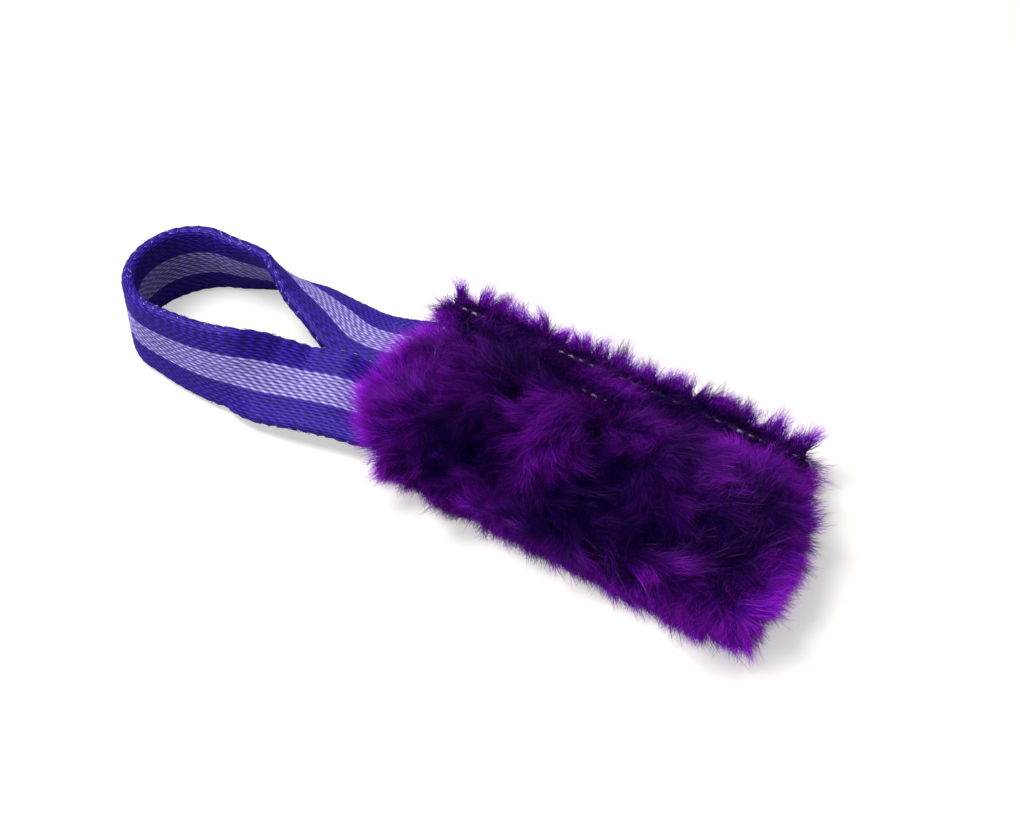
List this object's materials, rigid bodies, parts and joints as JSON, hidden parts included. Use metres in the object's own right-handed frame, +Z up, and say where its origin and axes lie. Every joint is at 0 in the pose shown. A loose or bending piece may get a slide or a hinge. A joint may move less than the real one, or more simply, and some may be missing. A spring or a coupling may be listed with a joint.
{
  "type": "furry prey dummy",
  "caption": "Flat tube of long-pile faux fur, sewn along one side, on the two tails of a striped webbing loop handle that lifts at the fur's mouth.",
  "frame": {"origin": "under the middle of the whole object, on the surface that it lies on", "axes": "+X from the handle loop towards the fur's closed end, +Y from the fold of the fur towards its two seam rows, +Z up"},
  "size_m": [0.2092, 0.0709, 0.0252],
  "materials": {
    "fur": "long-pile faux fur",
    "webbing": "cushion webbing with a pale middle stripe",
    "thread": "spun sewing thread"
  },
  "bodies": {
    "fur_body": {"fur_cover": "fur", "near_tail": "webbing", "far_tail": "webbing", "outer_seam_needle_thread": "thread", "outer_seam_bobbin_thread": "thread", "inner_seam_needle_thread": "thread", "inner_seam_bobbin_thread": "thread", "mouth_seam_needle_thread": "thread", "mouth_seam_bobbin_thread": "thread", "end_seam_needle_thread": "thread", "end_seam_bobbin_thread": "thread"},
    "handle": {"handle_loop": "webbing"}
  },
  "joints": [
    {"name": "handle_lift", "type": "hinge", "parent": "fur_body", "child": "handle", "pos_m": [-0.04095, 0, 0.0096], "axis": [0, 1, 0], "range_deg": [0, 90]}
  ]
}
